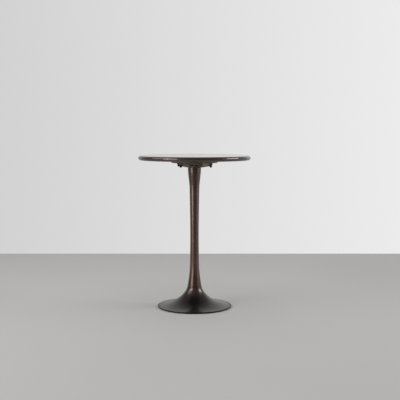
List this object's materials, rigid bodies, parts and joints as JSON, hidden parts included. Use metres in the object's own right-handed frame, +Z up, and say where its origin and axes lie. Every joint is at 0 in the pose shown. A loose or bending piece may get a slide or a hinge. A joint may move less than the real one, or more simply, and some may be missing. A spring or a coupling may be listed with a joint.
{
  "type": "round side table",
  "caption": "Round pedestal side table with a thin full-round metal top, a slim flared column and a trumpet base, in dark bronze.",
  "frame": {"origin": "on the floor at the column's axis, under the middle of the base", "axes": "+Z up along the column; the camera of the picture looks along +Y with +X to its right"},
  "size_m": [0.45, 0.45, 0.612],
  "materials": {
    "bronze_top": "satin-gloss dark bronze lacquer on spun metal",
    "bronze_plate": "satin dark bronze paint",
    "bronze_column": "satin-gloss dark bronze lacquer on turned metal",
    "bronze_base": "satin dark bronze lacquer on a casting",
    "raw_casting": "lacquered raw casting",
    "board": "dark sealed fibreboard",
    "black_oxide": "black oxide steel",
    "zinc_steel": "zinc-plated steel",
    "pad_felt": "dense black felt"
  },
  "bodies": {
    "root": {"top_skin": "bronze_top", "top_core": "board", "mounting_plate": "bronze_plate", "plate_screw_1": "zinc_steel", "plate_screw_2": "zinc_steel", "plate_screw_3": "zinc_steel", "plate_screw_4": "zinc_steel", "spider": "raw_casting", "spider_bolt_1": "black_oxide", "spider_bolt_2": "black_oxide", "spider_bolt_3": "black_oxide", "spider_bolt_4": "black_oxide", "bolt_washer_1": "black_oxide", "bolt_washer_2": "black_oxide", "bolt_washer_3": "black_oxide", "bolt_washer_4": "black_oxide", "bolt_lock_washer_1": "black_oxide", "bolt_lock_washer_2": "black_oxide", "bolt_lock_washer_3": "black_oxide", "bolt_lock_washer_4": "black_oxide", "column": "bronze_column", "base": "bronze_base", "tie_rod": "zinc_steel", "rod_top_washer": "zinc_steel", "rod_top_nut": "zinc_steel", "clamp_plate": "zinc_steel", "rod_lock_washer": "zinc_steel", "rod_bottom_nut": "zinc_steel", "floor_pad_1": "pad_felt", "floor_pad_2": "pad_felt", "floor_pad_3": "pad_felt", "floor_pad_4": "pad_felt"}
  },
  "joints": []
}
